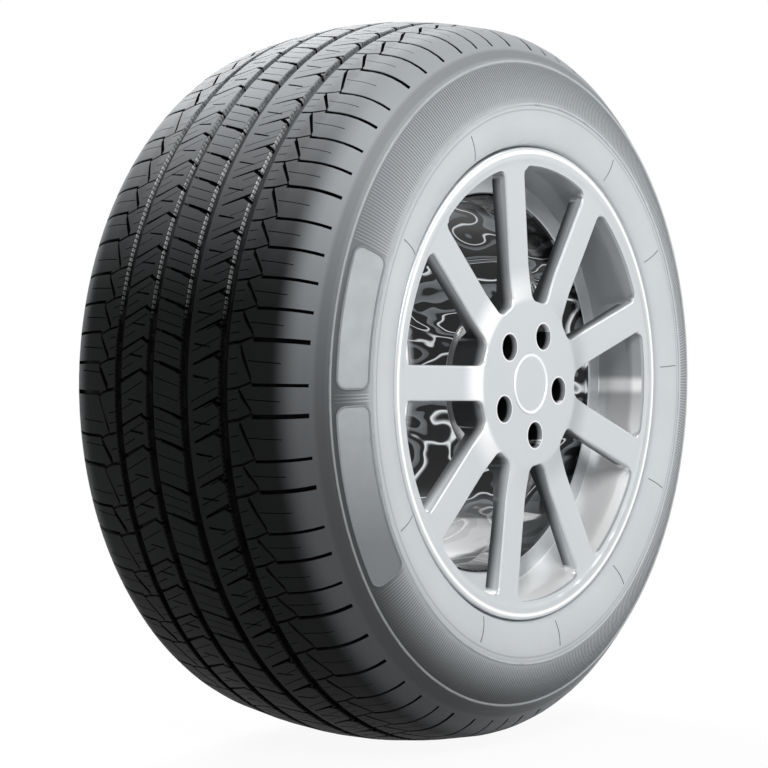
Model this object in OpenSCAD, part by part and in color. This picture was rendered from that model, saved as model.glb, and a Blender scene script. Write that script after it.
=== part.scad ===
// Passenger car tyre mounted on a nine-spoke alloy wheel.
// Both are modelled lying down, with the axle along Z and the outer side up, and on_axle() stands them up.
// Angles run round the axle from +X through +Z of the upright wheel. Lengths are in millimetres.

/* [Tyre] */
// Diameter over the tread
tyre_d = 690; // [670:1:730]
// Width over the sidewalls
section_w = 316; // [306:1:330]
// Height of the tyre's section over the seat on the rim
section_rise = 142.2; // [138:0.1:146]
// How far the widest point of a sidewall stands outside the crowned tread
side_reach = 57; // [54:0.5:60]
// Radius of the crown across the tread
crown_arc = 443; // [380:1:700]
// Radius of the shoulder beside the crown
shoulder_arc = 59; // [50:1:64]
// Angle at which the shoulder runs into the sidewall
shoulder_lean = 50; // [44:1:54]
// Thickness of the tread and belts at the crown
crown_wall = 18; // [15:0.5:22]
// Thickness of the sidewall at its widest
side_wall = 9; // [7:0.5:12]
// Width of the bead on its seat
bead_w = 20; // [17:0.5:22]
// Length of the small flat where the tread stands on the floor
flat_len = 72; // [60:1:90]

/* [Tread] */
// Depth of the main grooves
groove_depth = 8; // [6:0.5:9]
// Width of each main groove
groove_w = 9.5; // [7:0.5:12]
// Distance of the two centre grooves from the middle, as a share of the crown's width
groove_inner_share = 0.0965; // [0.09:0.0005:0.105]
// Distance of the two outer grooves from the middle, as a share of the crown's width
groove_outer_share = 0.297; // [0.285:0.001:0.31]
// Depth of the slots across the ribs
slot_depth = 6; // [4:0.5:7]
// Width of the slots across the ribs
slot_w = 3.1; // [2.2:0.1:3.4]
// Depth of the long slots across the shoulder
shoulder_depth = 6.5; // [4:0.5:7]
// Width of the long slots across the shoulder
shoulder_slot_w = 3.4; // [2.4:0.1:3.8]
// Half width of the tread where the shoulder slots end
shoulder_end = 132; // [124:1:136]
// Length of a short pitch as a share of a medium one
pitch_short = 0.85; // [0.8:0.01:0.95]
// Length of a long pitch as a share of a medium one
pitch_long = 1.21; // [1.05:0.01:1.25]

/* [Sidewall] */
// How far the raised ring below the tread shoulder lies inside the tread's radius
shoulder_ring_drop = 45; // [41:1:49]
// How far the raised ring around the inner band lies outside the rim's flange
band_ring_rise = 39.7; // [34:0.1:45]
// Height of the raised rings
ring_h = 1.2; // [0.6:0.1:2]
// Width of the raised rings
ring_w = 2; // [1.2:0.1:3]

/* [Rim] */
// How far each bead seat ends inside the widest point of the tyre
rim_inset = 18.3; // [17:0.1:20]
// How far inside the bead seat's radius the valve stands
valve_drop = 12.2; // [11.8:0.1:13]
// Height of the flanges over the bead seats
flange_h = 17.5; // [16:0.5:19]
// Radius of the curl of the flange
flange_curl = 9.5; // [8.5:0.5:10]
// Reach of the flange lip past the curl
lip_w = 2.5; // [2:0.5:4]
// Wall of the barrel
barrel_wall = 5; // [4.5:0.1:6]
// Depth of the drop-centre well below the seats
well_depth = 20.5; // [17:0.5:21]
// Distance of the wall of the well from the outer end of the rim
well_inset = 52; // [48:1:56]
// Width of the floor of the well
well_w = 38; // [34:1:46]
// Rise of the humps beside the bead seats
hump_h = 1.2; // [0.8:0.1:1.6]

/* [Spokes] */
// Number of spokes
spokes = 9; // [7:1:10]
// Direction of the first spoke
spoke_phase = 178.5; // [160:0.5:200]
// Width of a spoke
spoke_w = 32; // [28:0.5:35]
// Depth of a spoke from front to back
spoke_t = 15; // [12:0.5:18]
// Dip of the spoke front beside the hub
spoke_dip = 1.5; // [0.5:0.1:2.5]
// Depth of the full-width front of a spoke, before the step in its side
ledge_depth = 5; // [4:0.5:7]
// Width of the step in the side of a spoke
ledge_w = 2; // [1:0.1:2.5]
// Rounding of the window corners beside the hub
window_hub_round = 10; // [8:0.5:10.5]
// Rounding of the window corners beside the rim
window_rim_round = 9; // [6:0.5:12]
// Width of the hollow in the back of a spoke
spoke_hollow_w = 15; // [12:0.5:17]
// Skin left in front of the hollow
spoke_skin = 6; // [5:0.5:8]

/* [Hub] */
// Radius of the flat hub face
hub_r = 78; // [74:1:82]
// Set-back of the hub face behind the lip of the rim
hub_inset = 5; // [4:0.5:8]
// Thickness of the hub from its face to the mounting pad
hub_t = 46; // [42:0.5:52]
// Radius of the mounting pad
pad_r = 74; // [72:1:76]
// Diameter of the centre bore
bore_d = 58.1; // [56:0.1:60]
// Length of the centre bore behind the cap
bore_len = 30; // [24:0.5:30]
// Diameter of the bore that holds the centre cap
cap_bore_d = 57.3; // [54:0.1:57.8]
// Diameter of the bolt circle
bolt_circle_d = 98; // [96:0.5:102]
// Number of bolts
bolts = 5; // [4:1:5]
// Direction of the first bolt
bolt_phase = -8.7; // [-30:0.1:30]
// Diameter of the bolt clearance holes
bolt_hole_d = 13.5; // [12.5:0.1:15]
// Diameter of the wells that the bolt heads sit in
bolt_well_d = 24.5; // [23:0.5:26]
// Depth of the wells that the bolt heads sit in
bolt_well_depth = 26; // [20:0.5:30]

/* [Centre cap] */
// Gap between the cap and its bore
cap_gap = 0.25; // [0.1:0.05:0.4]
// Height by which the cap stands proud of the hub face
cap_proud = 1.2; // [0.5:0.1:2]
// Width of the raised ring of the cap
cap_ring_w = 2.2; // [1.5:0.1:3]
// Depth of the disc inside the ring
cap_dish = 0.7; // [0.4:0.1:1.2]
// Depth of the cap in the bore
cap_depth = 14; // [10:0.5:18]
// Wall of the cap
cap_wall = 2; // [1.6:0.1:2.6]

/* [Valve] */
// Direction of the valve
valve_phase = 158.5; // [150:0.5:167]
// Diameter of the valve hole
valve_hole_d = 11.3; // [11:0.1:11.6]
// Length of the valve in front of the well
valve_len = 33; // [28:1:36]

/* [Hidden] */
$fn = 180;

tyre_r = tyre_d / 2;
section_h = section_w / 2;
crown_w = section_w - 2 * side_reach;
groove_inner = crown_w * groove_inner_share;
groove_outer = crown_w * groove_outer_share;
seat_r = tyre_r - section_rise;
seat_h = section_h - rim_inset;
flange_r = seat_r + flange_h;
lip_h = seat_h + flange_curl + lip_w;

// Crown: an arc centred in the middle plane
crown_lean = asin(crown_w / 2 / crown_arc);
crown_edge_r = tyre_r - crown_arc * (1 - cos(crown_lean));
function crown_r(z) = tyre_r - crown_arc + sqrt(crown_arc * crown_arc - z * z);

// Shoulder: an arc that starts tangent to the crown
shoulder_z = crown_w / 2 + shoulder_arc * (sin(shoulder_lean) - sin(crown_lean));
shoulder_r = crown_edge_r - shoulder_arc * (cos(crown_lean) - cos(shoulder_lean));

// Sidewall: an arc from the shoulder to the widest point, and one from there to the flange
side_arc = (section_h - shoulder_z) / (1 - sin(shoulder_lean));
widest_r = shoulder_r - side_arc * cos(shoulder_lean);
flange_clear = 1.3;
lower_r = flange_r + 3 * flange_clear;
lower_z = lip_h + flange_clear;
lower_rise = section_h - lower_z;
lower_drop = widest_r - lower_r;
lower_sweep = 2 * atan(lower_rise / lower_drop);
lower_arc = lower_drop / sin(lower_sweep);

// Outer half outline from the middle of the tread to the flange, as [radius, height]. Each rib is one
// straight face, so that the crown bends inside the grooves.
crown_points = [for (z = [0, groove_inner, groove_outer, crown_w / 2])
    [z <= groove_inner ? tyre_r : crown_r(z), z]];
function shoulder_points(n) = [for (i = [1:n])
    let (a = crown_lean + (shoulder_lean - crown_lean) * i / n)
    [crown_edge_r - shoulder_arc * (cos(crown_lean) - cos(a)),
     crown_w / 2 + shoulder_arc * (sin(a) - sin(crown_lean))]];
function side_point(a) = [shoulder_r - side_arc * (cos(shoulder_lean) - cos(a)),
    shoulder_z + side_arc * (sin(a) - sin(shoulder_lean))];
function side_points(n) = [for (i = [1:n]) side_point(shoulder_lean + (90 - shoulder_lean) * i / n)];
function lower_points(n) = [for (i = [1:n]) let (a = lower_sweep * i / n)
    [widest_r - lower_arc * sin(a), section_h - lower_arc * (1 - cos(a))]];

// Sidewall angle at a given radius, for the rings that follow it
function side_angle(r) = acos(cos(shoulder_lean) - (shoulder_r - r) / side_arc);

// Contour shared by the flange and the bead, from the curl down to the toe of the bead
curl_r = flange_r - flange_curl;
curl_z = seat_h + flange_curl;
seat_slope = tan(5);
bead_round = 5;
bead_toe = [seat_r - bead_w * seat_slope, seat_h - bead_w];
function curl_points(from, to, n) = [for (i = [0:n]) let (a = from + (to - from) * i / n)
    [curl_r + flange_curl * sin(a), curl_z + flange_curl * cos(a)]];
function heel_points(n) = [for (i = [0:n]) let (a = 90 * i / n)
    [seat_r + bead_round * (1 - sin(a)), seat_h - bead_round * (1 - cos(a))]];
function seat_contour(from) = concat(curl_points(from, 180, 4), heel_points(4), [bead_toe]);

leave_angle = 135;
tyre_outside = concat(crown_points, shoulder_points(4), side_points(8), lower_points(4),
    [[flange_r + 2 * flange_clear, lip_h - lip_w / 2],
     [flange_r + flange_clear / 2, seat_h + flange_curl / 2]],
    seat_contour(leave_angle));

// Inner liner from the toe of the bead up to the middle of the crown
bead_t = 15;
liner_side_r = (widest_r + shoulder_r) / 2;
tyre_inside = [
    [seat_r + 3, bead_toe[1] - 1],
    [seat_r + 14, seat_h - bead_t],
    [flange_r + 8, seat_h - 6],
    [widest_r, section_h - side_wall],
    [liner_side_r, shoulder_z + (section_h - shoulder_z) * 0.6 - side_wall],
    [shoulder_r - side_wall, shoulder_z - side_wall - 3],
    [crown_edge_r - crown_wall - 3, crown_w / 2],
    [crown_r(crown_w / 4) - crown_wall, crown_w / 4],
    [tyre_r - crown_wall, 0]];

function flip(points) = [for (i = [len(points) - 1:-1:0]) [points[i][0], -points[i][1]]];

// Pitches round the tread, short, medium and long, mixed so that the tyre doesn't hum
pitch_order = "MMLSMSSMSSSSLSLSLSMSLLLMMSLMSSMLSMMSLSMSLMSSLMSMLSSMSLMSMSLSMSSLMSSM";
pitches = len(pitch_order);
pitch_start = 112.5;
function pitch_share(i) = pitch_order[i] == "S" ? pitch_short : pitch_order[i] == "L" ? pitch_long : 1;
pitch_sums = [for (i = 0, a = 0; i <= pitches; a = a + (i < pitches ? pitch_share(i) : 0), i = i + 1) a];
function pitch_angle(i) = pitch_start + 360 * pitch_sums[(i + pitches) % pitches] / pitch_sums[pitches]
    + (i >= pitches ? 360 : i < 0 ? -360 : 0);
function pitch_width(i) = pitch_share((i + pitches) % pitches);

// Wheel: heights on the outer side
face_z = lip_h;
hub_z = face_z - hub_inset;
pad_z = hub_z - hub_t;
seat_in_r = seat_r - barrel_wall;
window_r = seat_r + 0.7;
well_r = seat_r - well_depth;
valve_r = seat_r - valve_drop;
well_in_r = well_r - barrel_wall;
well_wall_z = lip_h - well_inset;
spoke_angle = 360 / spokes;

module on_axle() {
    rotate([90, 0, 0]) children();
}

// A slot across a rib: a strip along path, whose points are [height, angle, width], cut radially
module tread_slot(path, depth) {
    last = len(path) - 1;
    mid_angle = (path[0][1] + path[last][1]) / 2;
    mid_z = (path[0][0] + path[last][0]) / 2;
    floor_r = crown_r(mid_z) - depth;
    mm_per_degree = PI * tyre_r / 180;
    side_a = [for (p = path) [(p[1] - mid_angle) * mm_per_degree - p[2] / 2, p[0]]];
    side_b = [for (i = [last:-1:0]) [(path[i][1] - mid_angle) * mm_per_degree + path[i][2] / 2, path[i][0]]];
    rotate(mid_angle)
        translate([floor_r, 0, 0])
            rotate([90, 0, 90])
                linear_extrude(depth + 5)
                    polygon(concat(side_a, side_b));
}

// A long slot across the shoulder, whose floor follows the outline of the tyre
module shoulder_slot(side, angle, width) {
    inner_z = crown_w / 2 - 14.6;
    end_r = shoulder_points(4)[3][0];
    floor_line = [[crown_r(inner_z) - shoulder_depth, side * inner_z],
        [crown_edge_r - shoulder_depth, side * crown_w / 2],
        [end_r - shoulder_depth / 2, side * shoulder_end]];
    rotate([0, 0, angle])
        rotate([90, 0, 0])
            translate([0, 0, -width / 2])
                linear_extrude(width)
                    polygon(concat(floor_line,
                        [[tyre_r, side * shoulder_end], [tyre_r, side * inner_z]]));
}

// The slots of one pitch on one half of the tread. The other half is the same pattern turned end for end.
half_turn = 7.8;
module half_pitch(side, i) {
    base = pitch_angle(i);
    next = pitch_angle(i + side);
    wide = slot_w * pitch_width(i);
    function at(z, a, w) = [side * z, side > 0 ? base + a : base + half_turn - a, w];
    function on_next(z, a, w) = [side * z, side > 0 ? next + a : next + half_turn - a, w];
    rib_a = groove_inner + groove_w / 2;
    rib_b = groove_outer - groove_w / 2;
    rib_c = groove_outer + groove_w / 2;
    corner = crown_w / 2 - 13;
    tread_slot([at(rib_b + 1, 1.6, wide * 1.1), at(rib_a + 4.5, 3.6, wide * 0.6)], slot_depth);
    tread_slot([at(rib_a + 4.8, 5.2, wide * 0.7), at(rib_a + 22, 5.6, wide * 0.45)], slot_depth * 0.6);
    tread_slot([at(rib_c - 1, 0.5, wide * 0.8), at(corner - 13, 0.2, wide * 0.75),
        at(corner, -0.6, wide * 0.75)], slot_depth * 0.7);
    tread_slot([at(corner - 13.5, 0.5, wide * 2.4), on_next(corner - 1, -0.9, wide * 1.7)],
        slot_depth * 0.9);
    shoulder_angle = side > 0 ? base - 0.2 : base + half_turn + 0.2;
    shoulder_slot(side, shoulder_angle, shoulder_slot_w * pitch_width(i));
}

// The slot across the middle rib, open to one of the two centre grooves
module centre_slot(i) {
    base = pitch_angle(i);
    wide = slot_w * pitch_width(i);
    edge = groove_inner - groove_w / 2;
    tread_slot([[-edge + 5.5, base + 3.35, wide], [edge + 1, base + 4.6, wide]], slot_depth);
}

module tyre() {
    flat_drop = tyre_r - sqrt(tyre_r * tyre_r - flat_len * flat_len / 4);
    color("#303233")
        difference() {
            on_axle()
                difference() {
                    rotate_extrude()
                        tyre_section();
                    for (i = [0:pitches - 1]) {
                        half_pitch(1, i);
                        half_pitch(-1, i);
                        centre_slot(i);
                    }
                }
            translate([-flat_len, -section_h, -tyre_r - 20])
                cube([2 * flat_len, section_w, 20 + flat_drop]);
        }
}

module tyre_section() {
    difference() {
        union() {
            polygon(concat(tyre_outside, tyre_inside, flip(concat(tyre_outside, tyre_inside))));
            for (side = [-1, 1], r = [tyre_r - shoulder_ring_drop, flange_r + band_ring_rise])
                side_ring(side, r);
        }
        for (z = [-groove_outer, -groove_inner, groove_inner, groove_outer])
            groove(z);
    }
}

// A main groove with sides that lean a little
module groove(z) {
    top = crown_r(z) + 3;
    bottom = crown_r(z) - groove_depth;
    polygon([[top, z - groove_w / 2 - 0.4], [bottom, z - groove_w / 2 + 1.2],
        [bottom, z + groove_w / 2 - 1.2], [top, z + groove_w / 2 + 0.4]]);
}

// A low ring that follows the sidewall
module side_ring(side, r) {
    a = side_angle(r);
    p = side_point(a);
    translate([p[0], side * p[1]])
        rotate(side * (90 - a))
            square([ring_w, 2 * ring_h], center = true);
}

module wheel() {
    color("#c5cacd")
        on_axle()
            difference() {
                rotate_extrude()
                    wheel_section();
                windows();
                for (i = [0:spokes - 1])
                    rotate(spoke_phase + spoke_angle * i)
                        spoke_hollow();
                translate([0, 0, pad_z - 1])
                    cylinder(d = cap_bore_d, h = hub_t + 2);
                translate([0, 0, pad_z - 1])
                    cylinder(d = bore_d, h = bore_len + 1);
                for (i = [0:bolts - 1])
                    rotate(bolt_phase + 360 / bolts * i)
                        translate([bolt_circle_d / 2, 0, 0])
                            bolt_hole();
                rotate(valve_phase)
                    translate([valve_r, 0, well_wall_z - 2 * barrel_wall])
                        cylinder(d = valve_hole_d, h = 3 * barrel_wall);
            }
}

// Rim, face disc and hub in one outline, from the outer lip round the tyre side to the inner lip and back
module wheel_section() {
    hump_z = seat_h - bead_w - 7;
    rise_z = well_wall_z - barrel_wall - well_w;
    mid_r = seat_r - 4;
    outer_seat = concat(curl_points(90, 180, 8), heel_points(4),
        [bead_toe, [seat_r - bead_w * seat_slope + hump_h, hump_z], [seat_r - 3, hump_z - 5],
         [seat_r - 4, well_wall_z - barrel_wall]]);
    well = [[well_r + 0.5, well_wall_z - barrel_wall], [well_r, well_wall_z - barrel_wall - 1],
        [well_r, rise_z], [mid_r, rise_z - 26]];
    inner_seat = flip(concat(curl_points(90, 180, 8), heel_points(4),
        [bead_toe, [seat_r - bead_w * seat_slope + hump_h, hump_z], [mid_r, hump_z - 8]]));
    inner_lip = [[flange_r - 1, -lip_h], [flange_r - 6, -lip_h], [seat_r + 2, -seat_h - 4],
        [seat_in_r - 1, -seat_h + 2]];
    barrel_inside = [[mid_r - barrel_wall, -seat_h + bead_w], [mid_r - barrel_wall, rise_z - 27],
        [well_in_r, rise_z - 1], [well_in_r, well_wall_z - 3], [well_in_r + 3, well_wall_z],
        [seat_in_r - 0.4, well_wall_z], [seat_in_r, well_wall_z + 0.4]];
    back_z = pad_z + 8;
    spoke_back = hub_z - spoke_t - spoke_dip;
    face_back = [[seat_in_r, face_z - 18], [seat_in_r - 4, face_z - 20], [hub_r + 45, spoke_back],
        [hub_r + 12, spoke_back - 4], [pad_r + 2, back_z], [pad_r, pad_z], [0, pad_z]];
    face_front = concat([[0, hub_z]], spoke_front(7),
        [[flange_r - 12, face_z - 1.8], [flange_r - 9.5, face_z], [flange_r - 2, face_z],
         [flange_r - 0.4, face_z - 1]]);
    polygon(concat(outer_seat, well, inner_seat, inner_lip, barrel_inside, face_back, face_front));
}

// Front of the spokes: it dips a little beside the hub and rises to the rim
dip_from_r = hub_r + 0.7;
dip_to_r = hub_r + 32;
front_end_r = window_r + 0.8;
front_rise = face_z - 2.2 - hub_z;
function spoke_front(n) = [for (i = [0:n])
    let (out = (i - 3) / (n - 3),
        r = i < 4 ? dip_from_r + (dip_to_r - dip_from_r) * i / 3 : dip_to_r + (front_end_r - dip_to_r) * out,
        dip = i < 4 ? (1 - cos(60 * i)) / 2 : 1 - out)
    [r, hub_z + front_rise * pow((r - dip_from_r) / (front_end_r - dip_from_r), 2) - spoke_dip * dip]];

// Outline of the window between two spokes, centred on +X
function fillet_arc(c, r, from, to, n) = [for (i = [0:n]) let (a = from + (to - from) * i / n)
    [c[0] + r * cos(a), c[1] + r * sin(a)]];
function window_half(h, from_r) =
    let (ro = window_rim_round,
        ri = window_hub_round - (spoke_w / 2 - h),
        t = spoke_angle / 2,
        so = sqrt(pow(window_r - ro, 2) - pow(h + ro, 2)),
        si = sqrt(pow(from_r + ri, 2) - pow(h + ri, 2)),
        co = [so * cos(t) + (h + ro) * sin(t), so * sin(t) - (h + ro) * cos(t)],
        ci = [si * cos(t) + (h + ri) * sin(t), si * sin(t) - (h + ri) * cos(t)],
        ao = atan2(co[1], co[0]),
        ai = atan2(ci[1], ci[0]))
    concat([for (i = [0:4]) window_r * [cos(ao * i / 5), sin(ao * i / 5)]],
        fillet_arc(co, ro, ao, t + 90, 6),
        fillet_arc(ci, ri, t + 90, ai + 180, 6),
        [for (i = [1:2]) from_r * [cos(ai * (1 - i / 3)), sin(ai * (1 - i / 3))]]);

// A window cutter between spokes of half width h, from the hub's edge outwards
module window_prism(h, from_r, from_z, to_z) {
    half = window_half(h, from_r);
    mirrored = [for (i = [len(half) - 1:-1:1]) [half[i][0], -half[i][1]]];
    translate([0, 0, from_z])
        linear_extrude(to_z - from_z)
            polygon(concat(half, [[from_r, 0]], mirrored));
}

// The windows behind the face stay inside the barrel, and at the face they flare out to the rim
module windows() {
    back_z = well_wall_z + 6;
    ledge_z = hub_z - ledge_depth;
    flare_z = face_z - 24;
    intersection() {
        for (i = [0:spokes - 1])
            rotate(spoke_phase + spoke_angle * (i + 0.5)) {
                window_prism(spoke_w / 2, hub_r, back_z, face_z + 2);
                window_prism(spoke_w / 2 - ledge_w, hub_r - 0.75 * ledge_w, back_z - 1, ledge_z);
            }
        rotate_extrude()
            polygon([[0, back_z], [seat_in_r - 1, back_z], [seat_in_r - 1, flare_z],
                [window_r - 0.5, hub_z], [window_r + 1, face_z + 3], [0, face_z + 3]]);
    }
}

// Hollow in the back of a spoke, open to the rear
module spoke_hollow() {
    from_r = hub_r + 22;
    to_r = seat_in_r - 16;
    translate([0, 0, pad_z])
        linear_extrude(hub_z - spoke_dip - spoke_skin - pad_z)
            hollow_outline(from_r, to_r);
}

module hollow_outline(from_r, to_r) {
    end_r = spoke_hollow_w / 2;
    translate([from_r + end_r, 0])
        circle(end_r);
    translate([to_r - end_r, 0])
        circle(end_r);
    translate([from_r + end_r, -end_r])
        square([to_r - from_r - 2 * end_r, 2 * end_r]);
}

// Clearance hole, tapered seat and well for one bolt
module bolt_hole() {
    seat_z = hub_z - bolt_well_depth;
    cone_h = (bolt_well_d - bolt_hole_d) / 2 * tan(60);
    translate([0, 0, pad_z - 1])
        cylinder(d = bolt_hole_d, h = hub_t + 2);
    translate([0, 0, seat_z - cone_h])
        cylinder(d1 = bolt_hole_d, d2 = bolt_well_d, h = cone_h);
    translate([0, 0, seat_z])
        cylinder(d = bolt_well_d, h = bolt_well_depth + 1);
}

module centre_cap() {
    cap_r = cap_bore_d / 2 - cap_gap;
    top_z = hub_z + cap_proud;
    color("#bfc3c6")
        on_axle()
            rotate_extrude()
                polygon([[0, top_z - cap_dish], [cap_r - cap_ring_w - 0.5, top_z - cap_dish],
                    [cap_r - cap_ring_w, top_z], [cap_r - 0.6, top_z], [cap_r, top_z - 0.6],
                    [cap_r, top_z - cap_depth], [cap_r - cap_wall, top_z - cap_depth],
                    [cap_r - cap_wall, top_z - cap_dish - cap_wall], [0, top_z - cap_dish - cap_wall]]);
}

// Snap-in valve, with its axis parallel to the axle
valve_top = well_wall_z + valve_len;
stem_bore_r = 2.2;
module at_valve() {
    on_axle()
        rotate(valve_phase)
            translate([valve_r, 0, 0])
                children();
}

module valve_stem() {
    neck_r = valve_hole_d / 2;
    flare_r = neck_r + 1.8;
    back_z = well_wall_z - barrel_wall;
    color("#1b1c1d")
        at_valve()
            rotate_extrude()
                polygon([[stem_bore_r, back_z - 6], [flare_r, back_z - 6],
                    [flare_r, back_z], [neck_r, back_z],
                    [neck_r, well_wall_z], [neck_r + 1, well_wall_z], [neck_r + 0.8, well_wall_z + 3],
                    [neck_r - 0.6, well_wall_z + 7], [neck_r - 1.4, valve_top - 11], [3.9, valve_top - 11],
                    [3.9, valve_top], [stem_bore_r, valve_top]]);
}

module valve_core() {
    color("#b99a4a")
        at_valve()
            translate([0, 0, valve_top - 20])
                cylinder(r = stem_bore_r, h = 19);
}

module valve_cap() {
    color("#1d1e20")
        at_valve()
            rotate_extrude()
                polygon([[0, valve_top + 2], [4, valve_top + 2], [4.9, valve_top + 1], [5.2, valve_top - 9],
                    [3.9, valve_top - 9], [3.9, valve_top], [0, valve_top]]);
}

tyre();
wheel();
centre_cap();
valve_stem();
valve_core();
valve_cap();
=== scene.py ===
"""Car tyre on a nine-spoke alloy wheel: finishes, fine tread sipes, sidewall marks, studio and camera."""

import math

import bmesh
import bpy
from mathutils import Matrix, Vector


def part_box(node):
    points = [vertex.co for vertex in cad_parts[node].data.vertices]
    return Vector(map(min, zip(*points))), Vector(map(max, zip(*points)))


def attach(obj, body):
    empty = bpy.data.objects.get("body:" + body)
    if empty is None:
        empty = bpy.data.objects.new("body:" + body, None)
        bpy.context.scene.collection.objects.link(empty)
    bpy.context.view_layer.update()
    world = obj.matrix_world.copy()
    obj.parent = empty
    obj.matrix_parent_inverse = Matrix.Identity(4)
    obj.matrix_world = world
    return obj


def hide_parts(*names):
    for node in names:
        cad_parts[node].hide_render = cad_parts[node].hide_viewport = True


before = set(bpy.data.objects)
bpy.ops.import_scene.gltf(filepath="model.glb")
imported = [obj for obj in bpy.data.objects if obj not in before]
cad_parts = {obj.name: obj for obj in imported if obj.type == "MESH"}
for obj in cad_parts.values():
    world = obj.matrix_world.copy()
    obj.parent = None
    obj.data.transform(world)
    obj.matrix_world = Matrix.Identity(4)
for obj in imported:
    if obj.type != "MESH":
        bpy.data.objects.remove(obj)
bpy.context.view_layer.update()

# Sizes in metres, from the frame
TYRE_LOW, TYRE_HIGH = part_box("tyre")
TYRE_R = TYRE_HIGH.z
SECTION_HALF = TYRE_HIGH.y
# The cap stands this much proud of the hub face
CAP_PROUD = 0.0012
HUB_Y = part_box("centre_cap")[0].y + CAP_PROUD

# Tread: the order of its short, medium and long pitches, and the share of each of a medium one
PITCH_ORDER = "MMLSMSSMSSSSLSLSLSMSLLLMMSLMSSMLSMMSLSMSLMSSLMSMLSSMSLMSMSLSMSSLMSSM"
PITCH_SHARE = {"S": 0.85, "M": 1.0, "L": 1.21}
PITCH_START = 112.5
# Crown of the tread: its arc across, and where the shoulder starts
CROWN_ARC = 0.443
CROWN_HALF = 0.101
SHOULDER_ARC = 0.059
SHOULDER_HALF = 0.1327
# The inner half of the tread is the outer half turned end for end about this angle
HALF_TURN = 7.8
# Main grooves: distance from the middle plane, half their width at the foot and at the mouth. Then the
# ribs on their walls: steps in degrees, size, depth below the tread, and how far the walls lean
GROOVES = (0.0195, 0.06)
GROOVE_HALF = 0.0042
GROOVE_REACH = 0.0049
WALL_RIB_STEP = 0.75
WALL_RIB_SIZE = (0.0036, 0.0012, 0.0031)
WALL_RIB_SUNK = 0.0026
WALL_LEAN = -8.3
# The tyre stands on a small flat that reaches this many degrees to either side, straight below the axle
FLAT_ANGLE = 7
STRAIGHT_DOWN = 270
SIPE_WIDTH = 0.0008
SIPE_DEPTH = 0.003
# A blade that cuts the tread stands this much proud of it
BLADE_OVER = 0.002
# The shoulder slots end at this distance from the middle plane
SLOT_END = 0.1322
# The tops of the tread blocks lie outside this radius, and face as the tread's outline does, to this cosine
TOP_R = 0.306
TOP_COSINE = 0.97

# Sidewall: an arc from the shoulder to the widest point, and a tighter one from there to the rim
SIDE_ARC = 0.10794
SIDE_MID_R = 0.24443
LOWER_ARC = 0.0434
# Hatched band: inner and outer radius, steps in degrees, and the ribs' radius and how deep they sit
HATCH_IN, HATCH_OUT = 0.2625, 0.2975
HATCH_STEP = 0.6
HATCH_RIB_R = 0.0007
HATCH_SUNK = 0.0001
HATCH_BENDS = 5
# The painted shade on the sidewalls is darkest this way. Their tone starts at these distances from the middle
# plane, goes from pale to dark between these radii as painted shade, and the painted shade of the hatched
# band begins and ends at these
DARK_SIDE = 220
SIDE_START = (0.1045, 0.127)
PALE_TO_DARK = (0.243, 0.302)
BAND_IN, BAND_OUT = (0.2605, 0.2665), (0.2995, 0.2975)
# Ticks: their angles, inner radius, length, thickness, and how deep they sit
TICK_ANGLES = [149, 117, 59, 31, 3, -26, -53, -82, -113, -151]
TICK_IN, TICK_LENGTH = 0.227, 0.024
TICK_R = 0.0006
TICK_SUNK = 0.0004
# Tones of the sidewall at its rings: inner and outer radius, share and colour. The first is a painted
# highlight along the shoulder ring, the second painted shade outside it, the third a dark line
RINGS = [(0.2985, 0.3012, 0.32, "#dfe2e4"),
         (0.3012, 0.3125, 0.3, "#2c2e2f"),
         (0.2535, 0.2555, 0.3, "#5f6265")]
# The two bare panels of the outer sidewall: inner and outer radius, first and last angle. Then the rounding
# of their corners, the thickness of their plates, and the bead that frames them and how proud it sits
PANELS = [(0.2645, 0.2945, 155, 179.6), (0.264, 0.295, 182.6, 215.5)]
PANEL_CORNER = 0.008
PANEL_PLATE = 0.001
FRAME_R = 0.001
FRAME_PROUD = 0.0004
# The hatched band stops this many degrees before a panel
PANEL_MARGIN = 0.8

# Wheel: its bolt holes, their circle, the direction of the first, the radius of their wells and the chamfers,
# which carry a painted highlight
BOLTS = 5
BOLT_R = 0.049
BOLT_PHASE = -8.7
BOLT_WELL_R = 0.0126
BOLT_EDGE = (0.0138, 0.0128)
# Radii of the wheel: the ring on the cap with its painted highlight, the roots of the spokes with their
# painted highlight and shade, the lip of the rim with its painted highlight, the collar with its painted
# reflection, barrel and back flange
CAP_RING = (0.0254, 0.0285)
ROOT_IN, ROOT_OUT = (0.0765, 0.081), (0.112, 0.084)
LIP_IN, LIP_OUT = (0.2135, 0.215), (0.218, 0.2165)
COLLAR = (0.1965, 0.1972)
BARREL_R, BARREL_Y = (0.176, 0.1765), (-0.0988, -0.0985)
BACK_FLANGE_R, BACK_FLANGE_Y = (0.2, 0.2008), (0.128, 0.142)
# Depths behind the hub face: how far the painted highlights on the edges reach, where the wells go black as
# painted shade, and where the flanks of the spokes go dark as painted shade. The flanks end at this radius
# and this place along the axle
HIGHLIGHT_DEPTH = 0.003
WELL_DEPTH = (0.0015, 0.006)
FLANK_DEPTH = (0.004, 0.015)
FLANK_R, FLANK_Y = (0.1955, 0.1945), (-0.1005, -0.1015)
# The edges of the face that are rounded: between these radii, to this depth, and by how much
FACE_EDGES = (0.074, 0.2005)
FACE_DEPTH = 0.0045
EDGE_ROUND = 0.0022
# Flat sides of the spokes: between these places along the axle and these radii, and larger than this
SPOKE_Y, SPOKE_R = (-0.145, -0.1), (0.075, 0.19)
FLAT_AREA = 0.0001
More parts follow.
